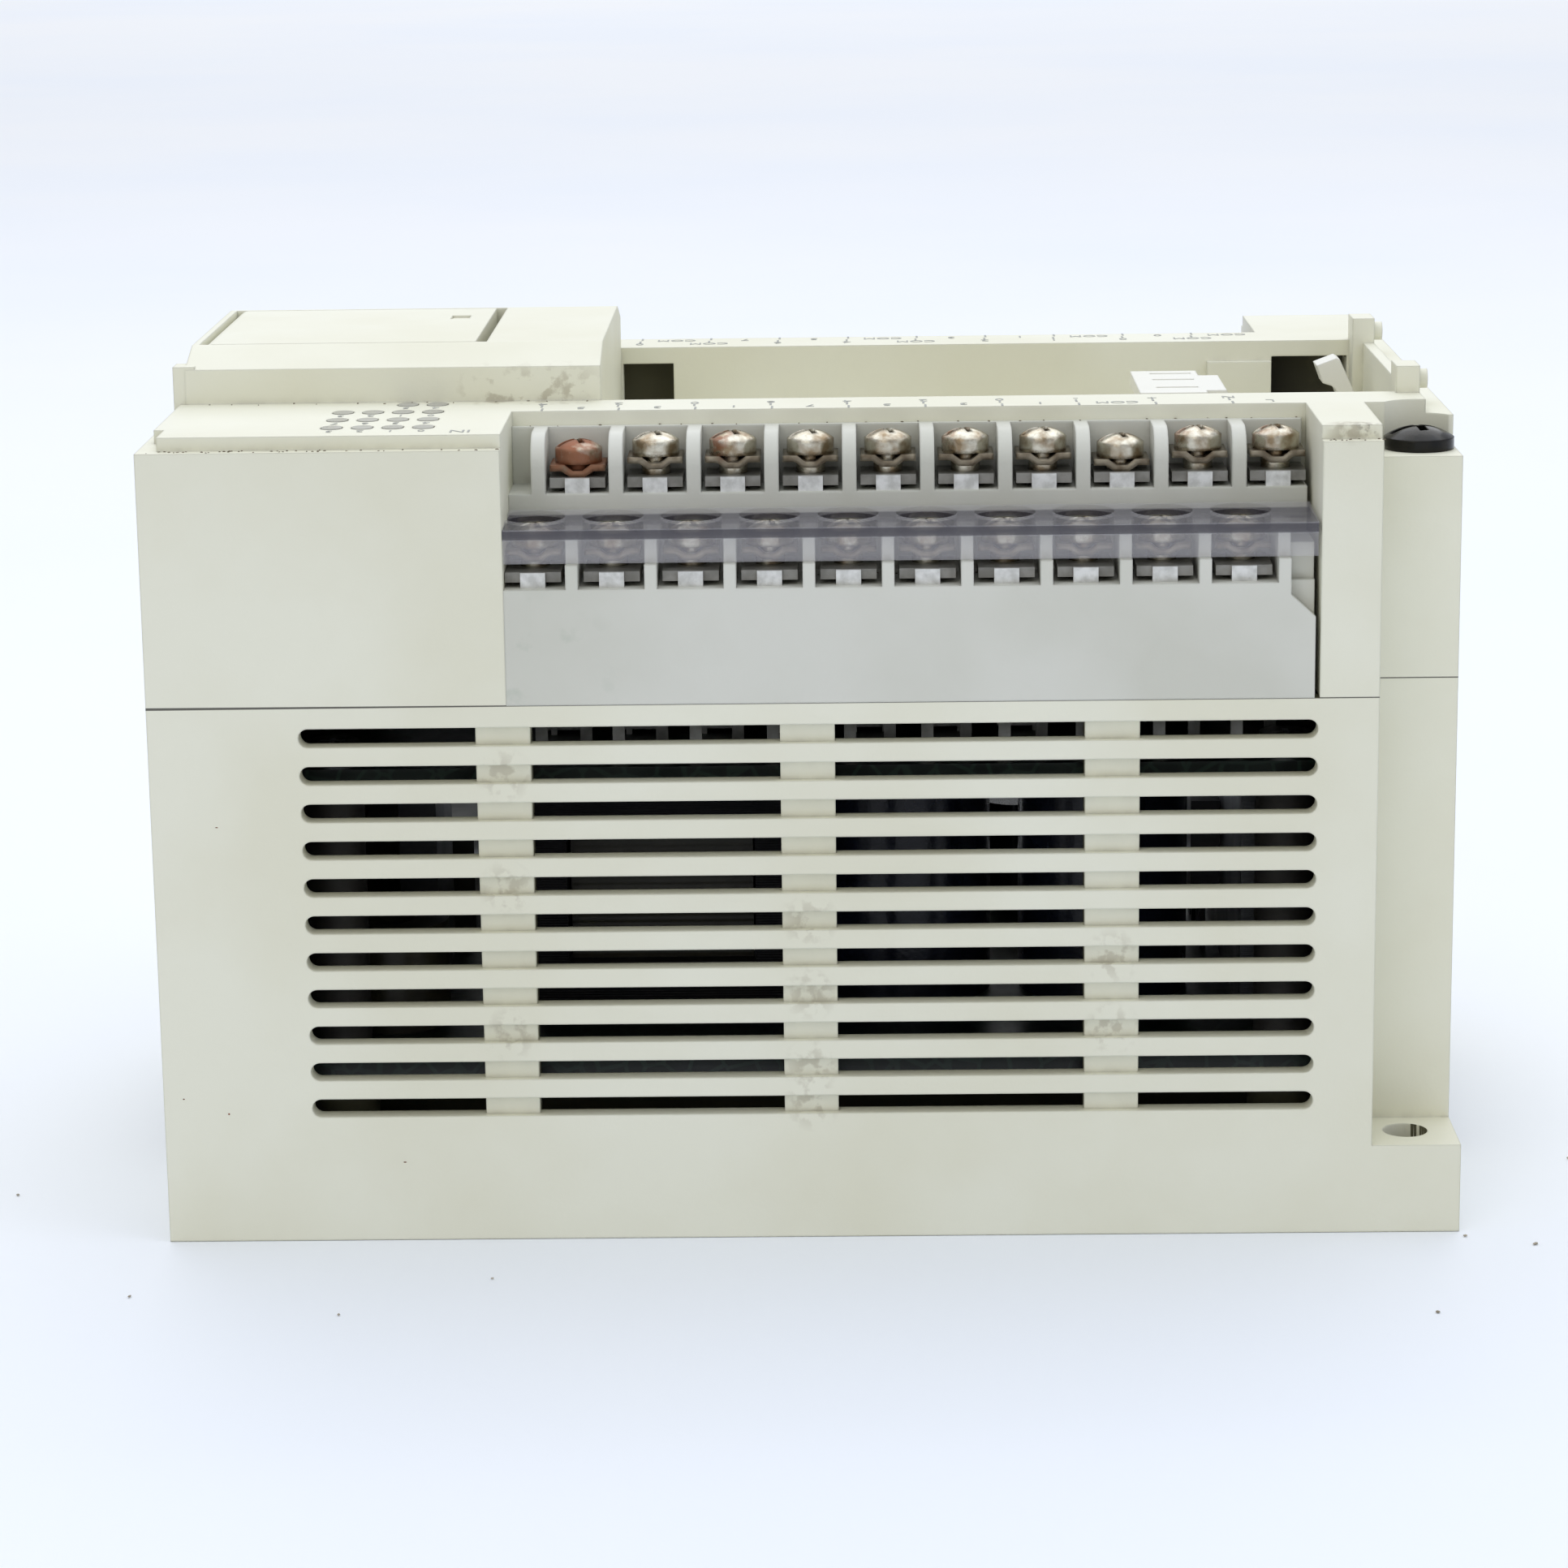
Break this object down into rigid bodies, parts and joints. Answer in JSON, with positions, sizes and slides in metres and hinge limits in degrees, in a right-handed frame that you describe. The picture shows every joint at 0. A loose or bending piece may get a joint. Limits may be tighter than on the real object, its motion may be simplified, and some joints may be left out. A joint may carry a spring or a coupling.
{
  "type": "plc module",
  "caption": "Compact brick controller with two-tier screw terminals on both long sides, a label channel, a raised block with a hinged port lid, vents and a rail clip.",
  "frame": {"origin": "centre of the mounting face, on the plane the module stands on", "axes": "+X along the case towards the end with the programming port, +Y towards the output terminals and the rail clip's pull tab, +Z away from the mounting face"},
  "size_m": [0.13, 0.09, 0.087],
  "materials": {
    "base_plastic": "fine textured ABS",
    "upper_plastic": "fine textured ABS",
    "lid_plastic": "fine textured ABS",
    "clip_plastic": "smooth acetal",
    "latch_plastic": "smooth acetal",
    "block_plastic": "fine textured PBT",
    "contact_plate": "nickel plated strip",
    "clamp_metal": "tarnished nickel plated steel",
    "terminal_screw_metal": "tarnished nickel plated steel",
    "guard_plastic": "smoky clear polycarbonate",
    "case_screw_metal": "black oxide",
    "light_lens": "clear diffusing acrylic",
    "circuit_board": "green solder mask",
    "spacer_metal": "nickel plated brass",
    "board_screw_metal": "zinc plated",
    "header_plastic": "moulded black",
    "relay_plastic": "moulded black",
    "opto_plastic": "moulded white",
    "chip_plastic": "epoxy",
    "core_iron": "varnished laminations",
    "winding_tape": "polyester tape",
    "capacitor_sleeve": "shrink sleeve",
    "filter_film": "moulded yellow",
    "fuse_glass": "clear glass with metal caps",
    "fuse_clip_metal": "tinned brass",
    "sink_aluminium": "mill finish",
    "connector_plastic": "moulded black",
    "connector_pin": "gold flash",
    "option_plastic": "moulded natural",
    "port_plastic": "moulded black",
    "port_metal": "tinned steel",
    "switch_plastic": "moulded black",
    "lever_plastic": "moulded white",
    "pot_body": "moulded blue",
    "pot_rotor": "moulded natural",
    "pin_metal": "ground steel"
  },
  "bodies": {
    "case": {"base_shell": "base_plastic", "upper_case": "upper_plastic", "input_terminal_block": "block_plastic", "output_terminal_block": "block_plastic", "input_terminal_plates": "contact_plate", "output_terminal_plates": "contact_plate", "input_clamp_washers": "clamp_metal", "output_clamp_washers": "clamp_metal", "input_terminal_screws": "terminal_screw_metal", "output_terminal_screws": "terminal_screw_metal", "input_guard_strip": "guard_plastic", "output_guard_strip": "guard_plastic", "case_screws": "case_screw_metal", "input_lights": "light_lens", "output_lights": "light_lens", "status_lights": "light_lens", "display_board": "circuit_board", "main_board": "circuit_board", "io_board": "circuit_board", "power_board": "circuit_board", "board_spacers": "spacer_metal", "board_screws": "board_screw_metal", "stacking_headers": "header_plastic", "relays": "relay_plastic", "optocouplers": "opto_plastic", "driver_chips": "chip_plastic", "processor_chip": "chip_plastic", "transformer_core": "core_iron", "transformer_winding": "winding_tape", "bulk_capacitors": "capacitor_sleeve", "line_filter": "filter_film", "fuse": "fuse_glass", "fuse_clips": "fuse_clip_metal", "heat_sink": "sink_aluminium", "power_transistors": "chip_plastic", "extension_connector": "connector_plastic", "extension_pins": "connector_pin", "option_connector": "option_plastic", "programming_port": "port_plastic", "port_shell": "port_metal", "switch_body": "switch_plastic", "trim_pot_bodies": "pot_body", "channel_pins": "pin_metal"},
    "clip": {"din_clip": "clip_plastic"},
    "lid": {"port_lid": "lid_plastic"},
    "mode_switch": {"switch_lever": "lever_plastic"},
    "trimmer_a": {"trim_rotor_a": "pot_rotor"},
    "trimmer_b": {"trim_rotor_b": "pot_rotor"},
    "latch": {"ribbed_latch": "latch_plastic"},
    "hook": {"hook_lever": "latch_plastic"}
  },
  "joints": [
    {"name": "clip_slide", "type": "slide", "parent": "case", "child": "clip", "axis": [0, 1, 0], "range_m": [0, 0.004], "stiffness_N_per_m": 400, "springref_m": -0.002},
    {"name": "lid_hinge", "type": "hinge", "parent": "case", "child": "lid", "pos_m": [-0.0614, 0, 0.086], "axis": [0, -1, 0], "range_deg": [0, 100]},
    {"name": "mode_slide", "type": "slide", "parent": "case", "child": "mode_switch", "axis": [1, 0, 0], "range_m": [0, 0.0036]},
    {"name": "trimmer_a_turn", "type": "hinge", "parent": "case", "child": "trimmer_a", "pos_m": [-0.0119, -0.007, 0.066], "axis": [0, 0, 1], "range_deg": [-135, 135]},
    {"name": "trimmer_b_turn", "type": "hinge", "parent": "case", "child": "trimmer_b", "pos_m": [-0.0119, 0.007, 0.066], "axis": [0, 0, 1], "range_deg": [-135, 135]},
    {"name": "latch_hinge", "type": "hinge", "parent": "case", "child": "latch", "pos_m": [0.043, 0, 0.071], "axis": [0, 1, 0], "range_deg": [0, 15], "stiffness_Nm_per_rad": 0.02, "springref_deg": -2.86},
    {"name": "hook_hinge", "type": "hinge", "parent": "case", "child": "hook", "pos_m": [0.0593, 0.01, 0.071], "axis": [0, 1, 0], "range_deg": [0, 8], "stiffness_Nm_per_rad": 0.02, "springref_deg": -2.86}
  ]
}
